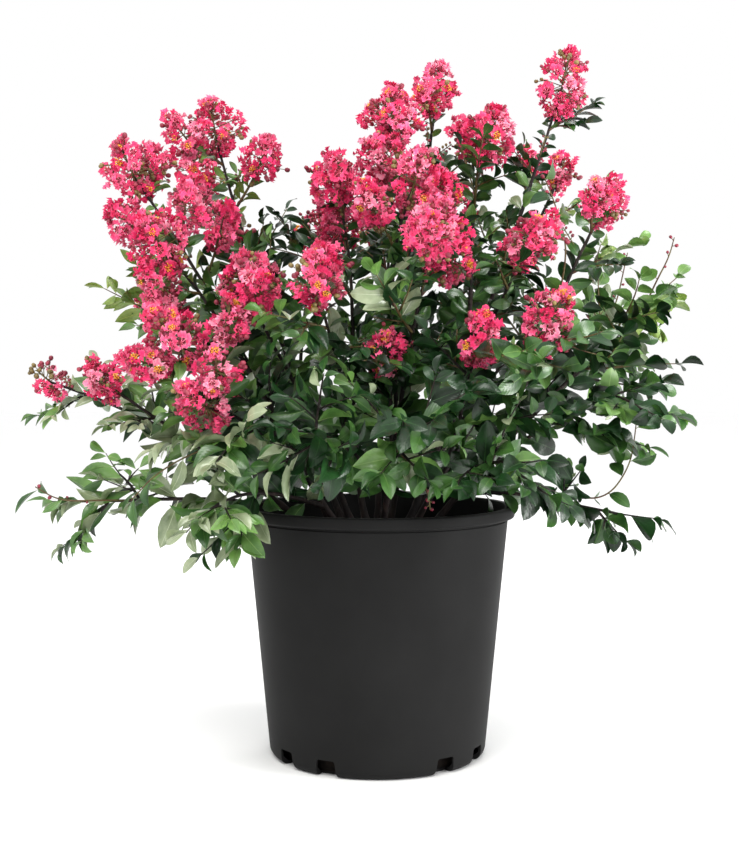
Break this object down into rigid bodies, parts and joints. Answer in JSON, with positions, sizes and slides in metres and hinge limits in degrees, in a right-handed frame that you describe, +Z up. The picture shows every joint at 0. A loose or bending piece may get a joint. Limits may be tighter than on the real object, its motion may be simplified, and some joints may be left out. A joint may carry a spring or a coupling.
{
  "type": "potted dwarf crape myrtle in flower",
  "caption": "Multi-stemmed dwarf crape myrtle shrub in bloom, with crinkled pink flower heads and small oval leaves, in a round black nursery pot.",
  "frame": {"origin": "middle of the pot's flat underside, where it stands on the ground", "axes": "+Z up along the pot's axis, +X to the viewer's right seen from the front, +Y from the front towards the back"},
  "size_m": [0.6835, 0.5308, 0.7168],
  "materials": {
    "pot": "satin black moulded plastic",
    "soil": "loose dark bark mix",
    "bark": "thin smooth dark brown bark",
    "leaf": "glossy oval leaves",
    "blossom": "matt crinkled petals"
  },
  "bodies": {
    "root": {"pot": "pot", "soil": "soil", "stem_left_high": "bark", "stem_left_outer": "bark", "stem_left_front": "bark", "stem_left_low": "bark", "stem_centre_left": "bark", "stem_centre_high": "bark", "stem_centre_front": "bark", "stem_right_high": "bark", "stem_right_front": "bark", "stem_right_outer": "bark", "stem_back_left": "bark", "stem_back_mid": "bark", "stem_back_right": "bark", "bough_left_mid": "bark", "bough_centre_top": "bark", "bough_right_mid": "bark", "bough_right_crest": "bark", "bloom_left_high": "blossom", "bloom_left_outer": "blossom", "bloom_left_front": "blossom", "bloom_left_low": "blossom", "bloom_centre_left": "blossom", "bloom_centre_high": "blossom", "bloom_centre_front": "blossom", "bloom_right_high": "blossom", "bloom_right_front": "blossom", "foliage_right_outer": "leaf", "bloom_back_left": "blossom", "bloom_back_mid": "blossom", "bloom_back_right": "blossom", "bloom_left_mid": "blossom", "bloom_centre_top": "blossom", "bloom_right_mid": "blossom", "bloom_right_crest": "blossom", "bloom_back_inner_left": "blossom", "bloom_back_inner_right": "blossom", "bloom_left_inner": "blossom", "bloom_front_left": "blossom", "bloom_front_mid": "blossom", "bloom_front_right": "blossom", "bloom_centre_mid": "blossom", "bloom_right_centre": "blossom", "bloom_left_reach": "blossom", "bloom_left_lip": "blossom", "foliage_pot_lip": "leaf", "foliage_left_ground": "leaf", "foliage_front_low_left": "leaf", "foliage_front_low_mid": "leaf", "foliage_front_low_right": "leaf", "foliage_right_low": "leaf", "foliage_right_side": "leaf", "foliage_back_lip_left": "leaf", "foliage_back_lip_right": "leaf", "bloom_back_low_left": "blossom", "bloom_back_low_mid": "blossom", "bloom_back_low_right": "blossom", "bloom_back_outer_left": "blossom", "foliage_back_outer_right": "leaf"}
  },
  "joints": []
}
